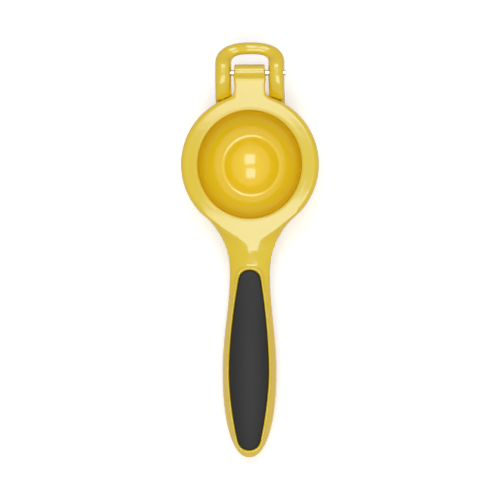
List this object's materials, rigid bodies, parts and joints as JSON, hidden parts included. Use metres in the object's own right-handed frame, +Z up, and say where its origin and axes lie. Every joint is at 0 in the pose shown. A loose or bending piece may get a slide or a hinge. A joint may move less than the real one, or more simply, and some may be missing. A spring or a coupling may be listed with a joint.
{
  "type": "hinged lemon squeezer",
  "caption": "Hinged two-lever lemon squeezer with a press bowl, a perforated cup, soft grips and a hanging loop at its hinge.",
  "frame": {"origin": "middle of the closed squeezer's box, on the table that it lies on", "axes": "+Z up from the table, +Y from the handles' ends towards the hinge and hanging loop, +X along the hinge pin towards its bare end"},
  "size_m": [0.0724, 0.215, 0.0484],
  "materials": {
    "yellow_enamel": "gloss",
    "steel": "satin",
    "soft_grip": "matte"
  },
  "bodies": {
    "cup_lever": {"cup_half": "yellow_enamel", "hinge_pin": "steel", "cup_grip": "soft_grip"},
    "press_lever": {"press_half": "yellow_enamel", "press_grip": "soft_grip"}
  },
  "joints": [
    {"name": "hinge", "type": "hinge", "parent": "cup_lever", "child": "press_lever", "pos_m": [0, 0.09106, 0.0441], "axis": [-1, 0, 0], "range_deg": [0, 165]}
  ]
}
